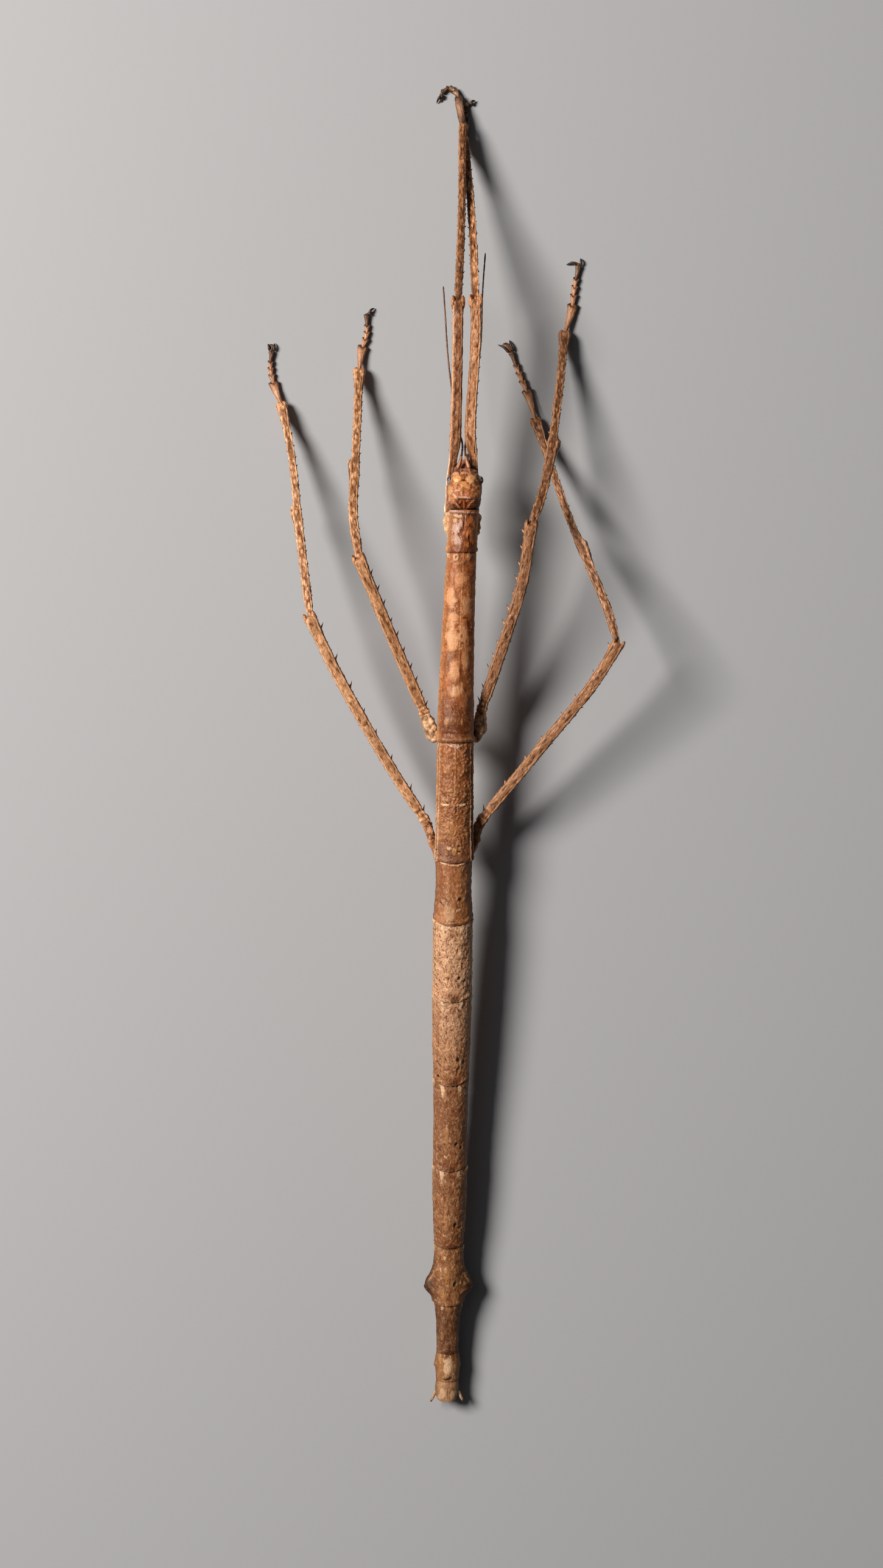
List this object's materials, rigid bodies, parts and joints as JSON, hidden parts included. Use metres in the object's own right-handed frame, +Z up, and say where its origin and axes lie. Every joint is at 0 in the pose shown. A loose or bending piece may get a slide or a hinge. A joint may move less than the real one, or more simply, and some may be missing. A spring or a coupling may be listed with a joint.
{
  "type": "giant stick insect",
  "caption": "Life-size still model of a wingless giant stick insect, long jointed body, spiny legs stretched forward, resting on its feet and tail.",
  "frame": {"origin": "on the ground, under the middle of the outline seen from above, legs and feelers included", "axes": "+Z up; -Y towards the head and +Y towards the tail; +X towards the animal's left side"},
  "size_m": [0.0981, 0.3678, 0.0274],
  "materials": {
    "head": "orange-brown mottled cuticle, slightly glossy",
    "eye": "glossy dark grey-brown compound eye",
    "mouthparts": "dark brown cuticle",
    "antenna": "thin brown jointed thread",
    "thorax": "tan cuticle with dark brown mottles and fine granules",
    "abdomen": "bark-like brown and tan cuticle with fine wrinkles",
    "cercus": "pale cuticle with dark tips",
    "leg": "tan bark-like cuticle with raised keels and spines",
    "foot": "dark brown cuticle",
    "claw": "hard black-brown claws"
  },
  "bodies": {
    "root": {"head": "head", "eye_left": "eye", "eye_right": "eye", "mouthparts": "mouthparts", "antenna_left": "antenna", "antenna_right": "antenna", "prothorax": "thorax", "mesothorax": "thorax", "metathorax": "thorax", "median_segment": "thorax", "abdomen_2": "abdomen", "abdomen_3": "abdomen", "abdomen_4": "abdomen", "abdomen_5": "abdomen", "abdomen_6": "abdomen", "abdomen_7": "abdomen", "abdomen_8": "abdomen", "abdomen_9": "abdomen", "abdomen_10": "abdomen", "operculum": "abdomen", "cercus_left": "cercus", "cercus_right": "cercus", "coxa_fore_left": "leg", "femur_fore_left": "leg", "tibia_fore_left": "leg", "tarsus_fore_left": "foot", "claws_fore_left": "claw", "coxa_fore_right": "leg", "femur_fore_right": "leg", "tibia_fore_right": "leg", "tarsus_fore_right": "foot", "claws_fore_right": "claw", "coxa_mid_left": "leg", "femur_mid_left": "leg", "tibia_mid_left": "leg", "tarsus_mid_left": "foot", "claws_mid_left": "claw", "coxa_mid_right": "leg", "femur_mid_right": "leg", "tibia_mid_right": "leg", "tarsus_mid_right": "foot", "claws_mid_right": "claw", "coxa_hind_left": "leg", "femur_hind_left": "leg", "tibia_hind_left": "leg", "tarsus_hind_left": "foot", "claws_hind_left": "claw", "coxa_hind_right": "leg", "femur_hind_right": "leg", "tibia_hind_right": "leg", "tarsus_hind_right": "foot", "claws_hind_right": "claw"}
  },
  "joints": []
}
